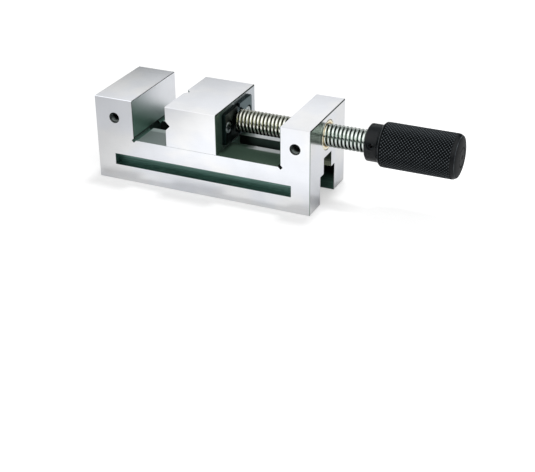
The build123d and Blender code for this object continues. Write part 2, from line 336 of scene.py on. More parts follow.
class BodyShader(Shader):
    """The body's material, with masks that tell its surfaces apart."""

    def __init__(self):
        super().__init__("ground_steel_body")
        x, z = self.x, self.z
        self.side = self.above(self.off_middle, half_width - EDGE)
        self.end_face = self.above(x, body_right - FACE_DEPTH)
        self.outside = self.either(
            self.side,
            self.below(x, body_left + EDGE),
            self.above(x, body_right - EDGE),
            self.above(z, body_top - EDGE),
            self.below(z, EDGE),
        )
        faces = self.either(self.near(x, fixed_face, EDGE), self.near(x, end_block_face, EDGE))
        self.inner_face = self.both(faces, self.above(z, WAY_HEIGHT + RELIEF_REACH))
        # Painted shade on the inner faces' lower front, giving way to lit steel towards the upper rear
        diagonal = self.scale_add(self.minus(z, WAY_HEIGHT), LIT_SLANT, self.y)
        self.clean = self.step(diagonal, *LIT_RANGE)
        level = self.above(self.facing[2], WAY_FACING_UP)
        self.ways = self.both(self.near(z, WAY_HEIGHT, WAY_REACH), level)
        self.right_share = self.step(x, jaw_face + SHARE_MARGIN, jaw_back - SHARE_MARGIN)
        self.right_way = self.both(self.ways, self.right_share)
        self.left_way = self.both(self.ways, self.lacks(self.right_share))
        self.in_side_slot = self.above(self.off_middle, SIDE_SLOT_FLOOR)
        self.in_foot_slot = self.below(z, FOOT_SLOT_HEIGHT)
        near_end = self.above(x, body_right - GUIDE_END_REACH)
        self.in_end = self.both(near_end, self.lacks(self.in_side_slot))
        self.in_guide = self.both(
            self.below(self.off_middle, GUIDE_HALF_WIDTH),
            self.above(x, fixed_face),
            self.below(x, end_block_face),
            self.lacks(self.in_foot_slot),
        )
        self.end_guide = self.both(self.in_end, self.lacks(self.in_foot_slot), self.lacks(self.outside))

    def screw_reflection(self):
        """A painted reflection of the screw: a slanted band on the end face, from the bush to the front edge.
        """
        level = self.size(self.scale_add(self.y, SCREW_REFLECTION_SLANT, self.minus(self.z, screw_z)))
        band = self.step(level, *SCREW_REFLECTION_RANGE, 1.0, 0.0)
        return self.both(band, self.below(self.y, SCREW_REFLECTION_START), self.end_face)

    def bores(self):
        """The stop and lock holes in the sides."""
        rise = self.minus(self.z, screw_z)
        holes = []
        for hole_x in (stop_hole_x, lock_hole_x):
            away = self.minus(self.x, hole_x)
            square = self.add(self.times(away, away), self.times(rise, rise))
            holes.append(self.below(square, HOLE_MOUTH * HOLE_MOUTH))
        return self.both(self.either(*holes), self.above(self.off_middle, BORE_REACH))

    def relief(self):
        """The grooves along the inner corners of the ways."""
        low = self.size(self.minus(self.z, WAY_HEIGHT))
        grooves = []
        for corner_x in (fixed_face, end_block_face):
            far = self.either(self.size(self.minus(self.x, corner_x)), low)
            grooves.append(self.below(far, RELIEF_REACH))
        return self.both(self.either(*grooves), self.lacks(self.side))


def slot_tones(s):
    """Painted shade in the green-grey slots, with streaks, and painted light low in the foot slot and at the
    foot of the end guide. The guide slot is darker, with painted light on one wall near the end block.
    """
    foot = s.mix(s.step(s.z, *FOOT_FADE), FOOT_SLOT_LIGHT, SHADE)
    over_foot = s.minus(s.z, FOOT_SLOT_HEIGHT)
    guide = s.mix(s.step(over_foot, *GUIDE_END_FADE), GUIDE_END_LIGHT, GUIDE_END_SHADE)
    color = s.mix(s.in_side_slot, SLOT_SHADE, SIDE_SLOT_SHADE)
    color = s.mix(s.in_end, color, s.mix(s.in_foot_slot, guide, foot))
    streaks = s.noise(s.stretched((35, 1500, 1500)), detail=4.0, roughness=0.6)
    color = s.dim(color, s.step(streaks, 0.3, 0.7, 0.7, 1.3))
    past_jaw = s.minus(s.x, jaw_back)
    wall = s.both(s.step(past_jaw, *WALL_LIGHT_START), s.step(s.z, *WALL_LIGHT_RISE))
    return s.mix(s.in_guide, color, s.mix(wall, GUIDE_SHADE, GUIDE_WALL_LIGHT))


def way_tones(s):
    """Painted shade on the ways: grey under the opening, dark green behind the jaw, with painted light along
    the guide slot and on the rear way.
    """
    past_jaw = s.minus(s.x, jaw_back)
    inner_strip = s.step(s.off_middle, *WAY_STRIP_EDGE, 1.0, 0.0)
    front_light = s.both(inner_strip, s.step(past_jaw, *FRONT_LIGHT_START))
    rear_light = s.both(s.above(s.y, 0.0), s.step(past_jaw, *REAR_LIGHT_START))
    channel = s.mix(s.either(front_light, rear_light), CHANNEL_SHADE, CHANNEL_LIGHT)
    return s.mix(s.right_share, LEFT_WAY_SHADE, channel)


def broken_edge_tones(s, color):
    """Painted shade on the small chamfers along the edges: darker upright ones, dimmed upper front ones, and
    dark ones that face up and to the right.
    """
    upright = s.mix(s.above(s.x, 0.0), LEFT_BREAK_SHADE, RIGHT_BREAK_SHADE)
    color = s.mix(s.toward(TO_RIGHT, TO_FRONT), color, upright)
    color = s.dim_where(color, s.toward(TO_UP, TO_FRONT), UPPER_EDGE_SHADE)
    return s.mix(s.toward(TO_UP, TO_RIGHT), color, TOP_EDGE_SHADE)


def bore_tones(s):
    """Painted shade at the mouth and deep inside, painted light in between, most of all on the lower wall."""
    lit = s.mix(s.step(s.facing[2], 0.15, 0.75), BORE_SIDE_LIGHT, BORE_FLOOR_LIGHT)
    wall = s.mix(s.step(s.off_middle, *BORE_LIGHT_START), SHADE, lit)
    return s.mix(s.step(s.off_middle, *BORE_MOUTH_SHADE_START), wall, BORE_MOUTH_SHADE)


def body_steel():
    """The body: bright outside; painted shade makes it greener and darker in the channel and dark in slots,
    grooves and holes, with some painted light and a painted reflection of the screw.
    """
    s = BodyShader()
    screw_reflection, bores, relief = s.screw_reflection(), s.bores(), s.relief()
    color = s.mix(s.outside, slot_tones(s), outer_steel(s))
    color = s.mix(s.ways, color, way_tones(s))
    color = s.mix(s.inner_face, color, s.mix(s.clean, INNER_FACE_SHADE, INNER_FACE_STEEL))
    # Painted reflection of the screw on the end face
    color = s.mix(screw_reflection, color, SCREW_REFLECTION)
    # Painted shade in a narrow strip along the end face's front edge
    brink = s.below(s.y, BRINK_WIDTH - half_width)
    color = s.mix(s.both(brink, s.end_face), color, BRINK_SHADE)
    # Painted shade along the end face's top edge
    crown = s.above(s.z, body_top - CROWN_DEPTH)
    color = s.mix(s.both(crown, s.end_face), color, TOP_EDGE_SHADE)
    color = broken_edge_tones(s, color)
    # Painted shade in the grooves, with painted light on their upward faces on the left
    lit_groove = s.both(s.above(s.facing[2], 0.2), s.below(s.x, 0.0))
    color = s.mix(relief, color, s.mix(lit_groove, SHADE, GROOVE_LIGHT))
    color = s.mix(bores, color, bore_tones(s))

    metal = s.scale_add(s.either(s.right_way, s.in_guide, s.end_guide), -0.65, 1.0)
    shaded = s.both(s.inner_face, s.lacks(s.clean))
    for mask, loss in ((shaded, 0.55), (s.left_way, 0.40), (bores, 0.60), (relief, 0.90)):
        metal = s.scale_add(mask, -loss, metal)
    metal = s.either(metal, 0.1)

    smooth = s.either(s.outside, s.ways, s.times(s.inner_face, 0.18))
    for mask, loss in ((s.left_way, 0.75), (s.end_face, 0.15), (screw_reflection, 0.25), (s.right_way, 0.35)):
        smooth = s.scale_add(mask, -loss, smooth)
    return steel_finish(s, color, smooth, metal)


def jaw_steel():
    """The movable jaw: bright outside, painted shade on the front half of its back and in its pocket, and
    dark painted shade along some edges.
    """
    s = Shader("ground_steel_jaw")
    outside = s.either(
        s.above(s.off_middle, half_width - EDGE),
        s.below(s.x, jaw_face + EDGE),
        s.above(s.z, jaw_top - EDGE),
    )
    back = s.above(s.x, jaw_back - FACE_DEPTH)
    # Painted shade on the front of the back, giving way to lit steel towards the rear
    rear = s.step(s.y, *JAW_LIT_RANGE)
    color = s.mix(outside, JAW_INSIDE_SHADE, outer_steel(s))
    color = s.mix(back, color, s.mix(rear, JAW_BACK_SHADE, JAW_BACK_LIT))
    # Painted shade along the back's top edge and on the chamfers
    color = s.mix(s.both(s.above(s.z, jaw_top - CROWN_DEPTH), back), color, JAW_TOP_EDGE_SHADE)
    color = s.dim_where(color, s.toward(TO_UP, TO_FRONT), JAW_UPPER_EDGE_SHADE)
    color = s.mix(s.toward(TO_RIGHT, TO_FRONT), color, JAW_BREAK_SHADE)
    color = s.mix(s.toward(TO_UP, TO_RIGHT), color, JAW_TOP_EDGE_SHADE)
    smooth = s.either(outside, s.times(back, 0.5))
    shaded = s.both(back, s.lacks(rear))
    inside = s.lacks(s.either(outside, back))
    return steel_finish(s, color, smooth, s.scale_add(s.either(shaded, inside), -0.6, 1.0))


def bush_bronze(name):
    """Bronze whose end face carries a painted pale highlight, with golden edges."""
    s = Shader(name)
    radius = s.from_screw()[1]
    rings = s.noise(s.stretched(LATHE_RINGS), roughness=0.6)
    patches = s.noise(s.position, scale=PATCH_SCALE, roughness=0.6)
    face = s.near(radius, (BUSH_OUTER + BUSH_INNER) / 2, (BUSH_OUTER - BUSH_INNER) / 2)
    edge = s.mix(s.step(patches, 0.40, 0.75), BRONZE_EDGE, BRONZE_DARK_EDGE)
    color = s.mix(face, edge, BRONZE_FACE_HIGHLIGHT)
    return s.principled(color, 1.0, s.scale_add(rings, 0.12, 0.16), s.bump(rings, 0.06, FINE_BUMP))


BRIGHT_CREST, BRIGHT_WARM_CREST = (0.84, 0.90, 0.86), (0.90, 0.91, 0.83)
WORN_CREST = (0.53, 0.58, 0.50)
# Flanks: lit copies above, shaded copies below; the roots carry painted shade
LIT_UPPER_WARM_FLANK = (0.80, 0.80, 0.66)
SHADED_LOWER_FLANK, SHADED_LOWER_WARM_FLANK = (0.43, 0.53, 0.47), (0.60, 0.60, 0.44)
ROOT_SHADE, WARM_ROOT_SHADE = (0.10, 0.155, 0.125), (0.075, 0.085, 0.055)
# Between these radii the painted shade in the thread's roots gives way to bright steel
ROOT_SHADE_ON_TOP, ROOT_SHADE_BELOW = (4.85 * MM, 5.25 * MM), (5.50 * MM, 6.15 * MM)


def thread_steel():
    """The lead screw: bright crests, painted shade in the roots, near the top and over the lower side, warmer
    on the length inside the vise.
    """
    s = Shader("lead_screw_steel")
    rise, radius = s.from_screw()
    rings = s.noise(s.stretched(LATHE_RINGS), roughness=0.6)
    patches = s.noise(s.position, scale=PATCH_SCALE, roughness=0.6)
    height = s.math("DIVIDE", rise, radius)
    upper = s.step(height, -0.15, 0.25)
    outer = s.step(s.x, 6.0 * MM, 26.0 * MM)
    lower_flank = s.mix(outer, SHADED_LOWER_WARM_FLANK, SHADED_LOWER_FLANK)
    flank = s.mix(upper, lower_flank, s.mix(outer, LIT_UPPER_WARM_FLANK, BRIGHT_CREST))
    # Painted shade on the flanks near the top
    flank = s.dim(flank, s.step(height, 0.40, 0.80, 1.0, 0.45))
    crest = s.mix(outer, BRIGHT_WARM_CREST, BRIGHT_CREST)
    crest = s.mix(s.step(radius, CREST - 0.45 * MM, CREST - 0.08 * MM), flank, crest)
    crest = s.mix(s.step(patches, 0.45, 0.8, 0.0, 0.5), crest, WORN_CREST)
    bright_below = s.step(radius, *ROOT_SHADE_BELOW)
    bright_on_top = s.step(radius, *ROOT_SHADE_ON_TOP)
    bright = s.scale_add(upper, s.minus(bright_on_top, bright_below), bright_below)
    color = s.mix(bright, s.mix(outer, WARM_ROOT_SHADE, ROOT_SHADE), crest)
    # Painted shade over the lower side
    color = s.dim(color, s.step(height, -0.85, 0.05, 0.28, 1.0))
    gloss = s.scale_add(rings, 0.10, s.scale_add(outer, -0.09, 0.20))
    return s.principled(color, 1.0, gloss, s.bump(rings, 0.06, FINE_BUMP))


def fastener_steel(name, color, dark, roughness):
    """Plain screws: patchy steel with fine scratches."""
    s = Shader(name)
    patches = s.noise(s.position, scale=420.0, detail=4.0, roughness=0.6)
    scratches = s.noise(s.stretched((900, 4200, 900), (0.4, 0.2, 0.9)), roughness=0.6)
    tint = s.mix(s.step(patches, 0.35, 0.7), color, dark)
    gloss = s.scale_add(scratches, 0.2, roughness - 0.1)
    return s.principled(tint, 1.0, gloss, s.bump(scratches, 0.12, FINE_BUMP))


def plate_steel(name):
    """Ground plates, blue-grey at the rear and dark with painted shade in front, with fine upright strokes.
    """
    s = Shader(name)
    strokes = s.noise(s.stretched((2500, 2500, 70)), detail=4.0, roughness=0.6)
    mottle = s.noise(s.position, scale=160.0, roughness=0.55)
    clean = s.mix(s.step(mottle, 0.35, 0.7), PLATE_LIT, PLATE_CLOUD)
    tint = s.mix(s.step(s.y, *PLATE_LIT_RANGE), PLATE_SHADE, clean)
    return s.principled(tint, 1.0, s.scale_add(strokes, 0.12, 0.30), s.bump(strokes, 0.10, FINE_BUMP))


KNURL_TONE_START = collar_face + 9.05 * MM
KNURL_TONE_END = handle_end - 3.45 * MM
RIM_PLACE, RIM_REACH = handle_end - 1.02 * MM, 0.10 * MM
SHOULDER_PLACE, SHOULDER_REACH = collar_face + 8.6 * MM, 0.14 * MM


def black_oxide(name):
    """Black oxide on steel: near black, slightly blue, worn a little on the knurl's tips, with wear and a
    painted highlight on two edges.
    """
    s = Shader(name)
    radius = s.from_screw()[1]
    patches = s.noise(s.position, scale=300.0, detail=4.0, roughness=0.6)
    speck = s.noise(s.position, scale=2600.0, detail=2.0, roughness=0.6)
    knurled = s.both(s.above(s.x, KNURL_TONE_START), s.below(s.x, KNURL_TONE_END))
    tip = s.step(radius, GRIP_RADIUS - 0.25 * MM, GRIP_RADIUS)
    worn = s.both(tip, knurled, s.step(speck, 0.3, 0.7, 0.5, 1.0))
    valley = s.both(knurled, s.lacks(tip), s.above(radius, 10.5 * MM))
    # Wear and a painted highlight line on the end rim and on the grip's shoulder
    edges = s.either(s.near(s.x, RIM_PLACE, RIM_REACH), s.near(s.x, SHOULDER_PLACE, SHOULDER_REACH))
    edges = s.both(edges, s.above(radius, 10.0 * MM), s.step(patches, 0.35, 0.65, 0.25, 1.0))
    color = s.mix(s.step(patches, 0.3, 0.7), BLACK, BLACK_CLOUD)
    color = s.mix(worn, color, WORN_TIP)
    color = s.mix(edges, color, WORN_EDGE_HIGHLIGHT)
    metal = s.either(s.times(worn, 0.7), s.times(valley, 0.75))
    end_face = s.above(s.x, handle_end - 1.2 * MM)
    gloss = s.scale_add(speck, 0.14, s.scale_add(end_face, 0.24, 0.26))
    relief = s.bump(speck, 0.25, 0.03 * MM)
    return s.principled(color, metal, gloss, relief, Specular_IOR_Level=0.25)


materials = {
    "body": body_steel(),
    "jaw": jaw_steel(),
    "plate": plate_steel("plate_steel"),
    "screw": thread_steel(),
    "bronze": bush_bronze("bronze"),
    "fastener": fastener_steel("screw_steel", (0.52, 0.57, 0.58), (0.26, 0.30, 0.30), 0.24),
    "pin": fastener_steel("screw_steel_dark", (0.045, 0.050, 0.055), (0.016, 0.018, 0.020), 0.40),
    "black": black_oxide("black_oxide_steel"),
}

node_materials = {
    "vise_body": "body",
    "nut_bush": "bronze",
    "nut_lock_screw": "fastener",
    "movable_jaw": "jaw",
    "retainer_plate_front": "plate",
    "retainer_plate_rear": "plate",
    "retainer_screw_front": "fastener",
    "retainer_screw_rear": "fastener",
    "hold_down_plate": "plate",
    "hold_down_screw_left": "fastener",
    "hold_down_screw_right": "fastener",
    "handle_pin": "pin",
}
for node, key in node_materials.items():
    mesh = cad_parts[node].data
    mesh.materials.clear()
    mesh.materials.append(materials[key])


# Mesh helpers

def add_object(name, mesh):
    obj = bpy.data.objects.new(name, mesh)
    bpy.context.collection.objects.link(obj)
    return obj


def smooth_faces(bm, sharp_angle=30.0):
    """Smooth shading, except across edges sharper than the angle."""
    for face in bm.faces:
        face.smooth = True
    for edge in bm.edges:
        edge.smooth = edge.is_manifold and edge.calc_face_angle(pi) < radians(sharp_angle)


def new_piece(name, bm, material, sharp_angle=30.0):
    """Turns a bmesh into an object."""
    bmesh.ops.recalc_face_normals(bm, faces=bm.faces)
    smooth_faces(bm, sharp_angle)
    mesh = bpy.data.meshes.new(name)
    bm.to_mesh(mesh)
    bm.free()
    mesh.materials.append(material)
    return add_object(name, mesh)


def ring(bm, x, radius, count):
    """A ring of vertices round the screw's axis."""
    angles = [tau * i / count for i in range(count)]
    return [bm.verts.new((x, radius * cos(a), screw_z + radius * sin(a))) for a in angles]


def bridge(bm, first, second):
    """Quads between two rings of the same count."""
    count = len(first)
    for i in range(count):
        j = (i + 1) % count
        bm.faces.new((first[i], first[j], second[j], second[i]))


def lathe(bm, last, profile):
    """Rings at the profile's places and radii, each joined to the one before. It returns the last."""
    for x, radius in profile:
        new = ring(bm, x, radius, len(last))
        bridge(bm, last, new)
        last = new
    return last


def turn_of(vertex):
    return atan2(vertex.co.z - screw_z, vertex.co.y) % tau


def zip_rings(bm, first, second):
    """Triangles between two rings of different counts, by angle."""
    first = sorted(first, key=turn_of)
    second = sorted(second, key=turn_of)
    i = j = 0
    while i < len(first) or j < len(second):
        a, b = first[i % len(first)], second[j % len(second)]
        next_a = turn_of(first[(i + 1) % len(first)]) + (tau if i + 1 >= len(first) else 0)
        next_b = turn_of(second[(j + 1) % len(second)]) + (tau if j + 1 >= len(second) else 0)
        if i < len(first) and (j >= len(second) or next_a <= next_b):
            bm.faces.new((a, first[(i + 1) % len(first)], b))
            i += 1
        else:
            bm.faces.new((a, second[(j + 1) % len(second)], b))
            j += 1


# Cross hole of the pin, through the collar and the shank
PIN_HOLE_RADIUS = 2.04 * MM
PIN_HOLE_LENGTH = 30 * MM
PIN_HOLE_SIDES = 48
PIN_TURN = radians(-11.5)
pin_point = Vector((collar_face + 3.8 * MM, 0, screw_z))
pin_axis = Matrix.Rotation(PIN_TURN, 3, "X") @ Vector((0, -1, 0))


def cut_pin_hole(obj):
    """Cuts the hole through a piece and keeps the piece's material."""
    bm = bmesh.new()
    turn = Vector((0, 0, 1)).rotation_difference(pin_axis).to_matrix().to_4x4()
    bmesh.ops.create_cone(
        bm, cap_ends=True, segments=PIN_HOLE_SIDES, radius1=PIN_HOLE_RADIUS, radius2=PIN_HOLE_RADIUS,
        depth=PIN_HOLE_LENGTH, matrix=Matrix.Translation(pin_point) @ turn,
    )
    mesh = bpy.data.meshes.new("cutter")
    bm.to_mesh(mesh)
    bm.free()
    cutter = add_object("cutter", mesh)
    modifier = obj.modifiers.new("hole", "BOOLEAN")
    modifier.operation = "DIFFERENCE"
    modifier.solver = "EXACT"
    modifier.object = cutter
    bpy.context.view_layer.update()
    result = bpy.data.meshes.new_from_object(obj.evaluated_get(bpy.context.evaluated_depsgraph_get()))
    obj.modifiers.clear()
    old = obj.data
    obj.data = result
    bpy.data.meshes.remove(old)
    bpy.data.objects.remove(cutter)
    bpy.data.meshes.remove(mesh)
    bm = bmesh.new()
    bm.from_mesh(obj.data)
    smooth_faces(bm)
    bm.to_mesh(obj.data)
    bm.free()


# Lead screw with its real thread

PITCH = 2.18 * MM
ROOT = 4.8 * MM
TURN_STEPS = 64
SPARE_TURNS = 3
THREAD_PHASE = 0.153
# Profile over one pitch: place along the pitch and radius
THREAD_PROFILE = (
    (-0.290, CREST - 0.36 * MM),
    (-0.215, CREST - 0.10 * MM),
    (-0.120, CREST),
    (0.120, CREST),
    (0.215, CREST - 0.10 * MM),
    (0.290, CREST - 0.36 * MM),
    (0.415, ROOT + 0.06 * MM),
    (0.460, ROOT),
    (0.540, ROOT),
    (0.585, ROOT + 0.06 * MM),
)
THREAD_CHAMFER = 0.7 * MM
NECK_RADIUS = 3.5 * MM
SHANK_RADIUS = 5.0 * MM
HEAD_RADIUS = 5.75 * MM
HEAD_LENGTH = 5.0 * MM
CENTRE_HOLE_RADIUS = 0.65 * MM
CENTRE_HOLE_MOUTH = 1.15 * MM
ROUND = 64
thread_start = plate_back + 0.6 * MM
shank_end = handle_end + 0.15 * MM


def build_thread(bm):
    """The helical surface, a few turns longer than needed at both ends."""
    first_turn = int((thread_start - body_left) / PITCH) - SPARE_TURNS
    turns = int((collar_face - thread_start) / PITCH) + 2 * SPARE_TURNS + 1
    rows = []
    for k in range(turns * TURN_STEPS + 1):
        angle = tau * k / TURN_STEPS
        row = []
        for place, radius in THREAD_PROFILE:
            x = body_left + PITCH * (first_turn + THREAD_PHASE + k / TURN_STEPS + place)
            row.append(bm.verts.new((x, radius * cos(angle), screw_z + radius * sin(angle))))
        rows.append(row)
    for k in range(len(rows) - 1):
        here, there = rows[k], rows[k + 1]
        for j in range(len(THREAD_PROFILE) - 1):
            bm.faces.new((here[j], there[j], there[j + 1], here[j + 1]))
        if k + 1 + TURN_STEPS < len(rows):
            after, beyond = rows[k + TURN_STEPS], rows[k + 1 + TURN_STEPS]
            bm.faces.new((here[-1], there[-1], beyond[0], after[0]))


def trim_thread(bm, x, way):
    """Cuts the thread off square at a place."""
    everything = list(bm.verts) + list(bm.edges) + list(bm.faces)
    bmesh.ops.bisect_plane(
        bm, geom=everything, dist=1e-8, plane_co=(x, 0, 0), plane_no=(way, 0, 0), clear_outer=True
    )


def chamfer_first_crests(bm):
    for vertex in bm.verts:
        y, z = vertex.co.y, vertex.co.z - screw_z
        radius = (y * y + z * z) ** 0.5
        limit = CREST - THREAD_CHAMFER + (vertex.co.x - thread_start)
        if radius > limit:
            vertex.co.y = y * limit / radius
            vertex.co.z = screw_z + z * limit / radius


def build_lead_screw():
    bm = bmesh.new()
    build_thread(bm)
    trim_thread(bm, thread_start, -1)
    trim_thread(bm, collar_face, 1)
    start_loop, end_loop = [
        [v for v in bm.verts if abs(v.co.x - x) < 1e-7] for x in (thread_start, collar_face)
    ]
    chamfer_first_crests(bm)

    neck = ring(bm, thread_start, NECK_RADIUS, ROUND)
    zip_rings(bm, start_loop, neck)
    head_back = head_start + HEAD_LENGTH
    head = lathe(bm, neck, [
        (head_back + 0.3 * MM, NECK_RADIUS),
        (head_back, NECK_RADIUS + 0.3 * MM),
        (head_back, HEAD_RADIUS - 0.3 * MM),
        (head_back - 0.3 * MM, HEAD_RADIUS),
        (head_start + 0.5 * MM, HEAD_RADIUS),
        (head_start, HEAD_RADIUS - 0.5 * MM),
    ])
    bm.faces.new(head)

    shank = ring(bm, collar_face, ROOT - 0.1 * MM, ROUND)
    zip_rings(bm, end_loop, shank)
    centre_hole = lathe(bm, shank, [
        (collar_face + 0.4 * MM, SHANK_RADIUS),
        (shank_end - 0.35 * MM, SHANK_RADIUS),
        (shank_end, SHANK_RADIUS - 0.35 * MM),
        (shank_end, CENTRE_HOLE_MOUTH),
        (shank_end - 0.5 * MM, CENTRE_HOLE_RADIUS),
        (shank_end - 2.0 * MM, CENTRE_HOLE_RADIUS),
    ])
    bm.faces.new(centre_hole)
    return new_piece("threaded_lead_screw", bm, materials["screw"])


lead_screw = build_lead_screw()
cut_pin_hole(lead_screw)
# The shank is blackened along with the handle
lead_screw.data.materials.append(materials["black"])
for polygon in lead_screw.data.polygons:
    polygon.material_index = 1 if polygon.center[0] > collar_face + 0.1 * MM else 0
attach(lead_screw, "screw")
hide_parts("lead_screw")


# Handle with its diamond knurl

KNURL_STARTS = 40
KNURL_COLUMNS = 2 * KNURL_STARTS
KNURL_STEP = 1.885 / 2 * MM
KNURL_ROWS = 41
KNURL_START = collar_face + 9.15 * MM
KNURL_END = KNURL_START + KNURL_ROWS * KNURL_STEP
KNURL_DEPTH = 0.46 * MM
TIP_SHARE = 0.26
GRIP_START = collar_face + 6.8 * MM
HANDLE_BORE = SHANK_RADIUS + 0.04 * MM
HANDLE_SHARP_ANGLE = 24.0


def knurl_vertex(bm, column, row, radius):
    angle = tau * column / KNURL_COLUMNS
    x = KNURL_START + row * KNURL_STEP
    return bm.verts.new((x, radius * cos(angle), screw_z + radius * sin(angle)))


def build_knurl(bm):
    """A diamond under each odd point of the grid. It returns the first and the last ring."""
    grid = {}
    for row in range(KNURL_ROWS + 1):
        edge_row = row in (0, KNURL_ROWS)
        for column in range(KNURL_COLUMNS):
            if edge_row or (column + row) % 2 == 0:
                grid[column, row] = knurl_vertex(bm, column, row, GRIP_RADIUS - KNURL_DEPTH)

    def at(column, row):
        return grid[column % KNURL_COLUMNS, row]

    steps = ((1, 0), (0, 1), (-1, 0), (0, -1))
    for row in range(KNURL_ROWS + 1):
        for column in range(KNURL_COLUMNS):
            if (column + row) % 2 == 0:
                continue
            if row == 0:
                bm.faces.new((at(column - 1, 0), at(column, 0), at(column, 1)))
                bm.faces.new((at(column, 0), at(column + 1, 0), at(column, 1)))
                continue
            if row == KNURL_ROWS:
                bm.faces.new((at(column, row - 1), at(column, row), at(column - 1, row)))
                bm.faces.new((at(column, row - 1), at(column + 1, row), at(column, row)))
                continue
            pits = [at(column + dc, row + dr) for dc, dr in steps]
            tips = [
                knurl_vertex(bm, column + dc * TIP_SHARE, row + dr * TIP_SHARE, GRIP_RADIUS)
                for dc, dr in steps
            ]
            for n in range(4):
                m = (n + 1) % 4
                bm.faces.new((pits[n], pits[m], tips[m], tips[n]))
            bm.faces.new(tips)
    return [[grid[column, row] for column in range(KNURL_COLUMNS)] for row in (0, KNURL_ROWS)]


def build_handle():
    bm = bmesh.new()
    first, last = build_knurl(bm)
    first = lathe(bm, first, [
        (KNURL_START - 0.15 * MM, GRIP_RADIUS - 0.10 * MM),
        (GRIP_START + 1.95 * MM, GRIP_RADIUS - 0.12 * MM),
        (GRIP_START + 1.7 * MM, GRIP_RADIUS - 0.30 * MM),
        (GRIP_START + 0.15 * MM, COLLAR_RADIUS + 0.15 * MM),
        (GRIP_START, COLLAR_RADIUS),
        (collar_face + 0.9 * MM, COLLAR_RADIUS),
        (collar_face + 0.55 * MM, COLLAR_RADIUS - 0.12 * MM),
        (collar_face, COLLAR_RADIUS - 0.9 * MM),
        (collar_face, HANDLE_BORE + 0.5 * MM),
        (collar_face + 0.5 * MM, HANDLE_BORE),
    ])
    last = lathe(bm, last, [
        (KNURL_END + 0.12 * MM, GRIP_RADIUS - 0.10 * MM),
        (handle_end - 1.10 * MM, GRIP_RADIUS - 0.92 * MM),
        (handle_end - 0.95 * MM, GRIP_RADIUS - 1.12 * MM),
        (handle_end - 0.45 * MM, GRIP_RADIUS - 2.60 * MM),
        (handle_end - 0.05 * MM, GRIP_RADIUS - 4.30 * MM),
        (handle_end + 0.22 * MM, HANDLE_BORE + 0.45 * MM),
        (handle_end - 0.40 * MM, HANDLE_BORE),
    ])
    bridge(bm, first, last)
    return new_piece("knurled_handle", bm, materials["black"], HANDLE_SHARP_ANGLE)


handle = build_handle()
cut_pin_hole(handle)
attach(handle, "screw")
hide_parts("handle")


# Studio: a white floor, a dark surround and a grey flag that only gloss sees, soft light from above

FLOOR_REACH = 6.0
FLOOR_GAP = 0.02 * MM
FLOOR_ALBEDO = (0.60, 0.60, 0.60)
# White that the camera alone sees on the floor: weaker near the vise, and stronger to its right, where it
# washes out the handle's shadow, and far away
FLOOR_FILL, FLOOR_FILL_FAR = 0.465, 0.70
FILL_RIGHT_RANGE, FILL_FAR_RANGE = (0.020, 0.055), (0.15, 0.40)
# Pool of light that metal sees on the floor in front of the vise
POOL_STRENGTH = 0.535
POOL_LEFT_RANGE, POOL_BASE_RANGE, POOL_BASE = (-0.135, -0.065), (-0.200, -0.140), 0.15
POOL_FAR_RANGE, POOL_FAR_SHARE = (-0.150, -0.085), 0.90
POOL_NEAR_RANGE, POOL_NEAR_SHARE = (-0.075, -0.033), 0.50
POOL_RIGHT_RANGE, POOL_BEHIND_RANGE = (0.012, 0.050), (-0.030, -0.010)
# Weaker pools behind the vise and to its right
REAR_STRENGTH, REAR_RANGE = 0.25, (0.0, 0.09)
SIDE_STRENGTH, SIDE_RANGE = 0.25, (0.018, 0.045)
SIDE_FAR_SHARE, SIDE_FAR_RANGE = 0.25, (0.050, 0.105)


def floor_paper():
    """White paper: it keeps the shadow, and metal sees pools of light on it round the vise."""
    s = Shader("floor_paper")
    x, y = s.x, s.y
    pool = s.add(
        s.step(x, *POOL_BASE_RANGE, 0.0, POOL_BASE),
        s.step(x, *POOL_LEFT_RANGE, 0.0, 1.0 - POOL_BASE),
    )
    pool = s.both(
        pool,
        s.step(y, *POOL_FAR_RANGE, POOL_FAR_SHARE, 1.0),
        s.step(y, *POOL_NEAR_RANGE, 1.0, POOL_NEAR_SHARE),
        s.step(x, *POOL_RIGHT_RANGE, 1.0, 0.0),
        s.step(y, *POOL_BEHIND_RANGE, 1.0, 0.0),
        POOL_STRENGTH,
    )
    rear = s.step(y, *REAR_RANGE, 0.0, REAR_STRENGTH)
    side = s.step(x, *SIDE_RANGE, 0.0, SIDE_STRENGTH)
    side = s.times(side, s.step(x, *SIDE_FAR_RANGE, 1.0, SIDE_FAR_SHARE))
    pool = s.add(pool, s.either(rear, side))
    fill = s.either(
        s.step(x, *FILL_RIGHT_RANGE, FLOOR_FILL, FLOOR_FILL_FAR),
        s.step(s.length(s.position), *FILL_FAR_RANGE, FLOOR_FILL, FLOOR_FILL_FAR),
    )
    reflected = s.either(s.ray("Glossy"), s.ray("Transmission"))
    strength = s.scale_add(reflected, pool, s.times(s.ray("Camera"), fill))
    glow = s.new("ShaderNodeEmission", Color=(1, 1, 1), Strength=strength)
    paper = s.new("ShaderNodeBsdfDiffuse", Color=FLOOR_ALBEDO)
    s.surface(s.new("ShaderNodeAddShader", paper.outputs[0], glow.outputs[0]))
    return s.material


def plain_mesh(name, points, faces, material):
    mesh = bpy.data.meshes.new(name)
    mesh.from_pydata(points, [], faces)
    mesh.materials.append(material)
    return add_object(name, mesh)


def hide_but_in_gloss(obj):
    """Leaves an object to be seen in glossy reflections alone."""
    obj.visible_camera = False
    obj.visible_diffuse = False
    obj.visible_shadow = False


floor_z = body_low[2] - FLOOR_GAP
floor_signs = ((-1, -1), (1, -1), (1, 1), (-1, 1))
floor_corners = [(x * FLOOR_REACH, y * FLOOR_REACH, floor_z) for x, y in floor_signs]
floor = plain_mesh("floor", floor_corners, [(0, 1, 2, 3)], floor_paper())

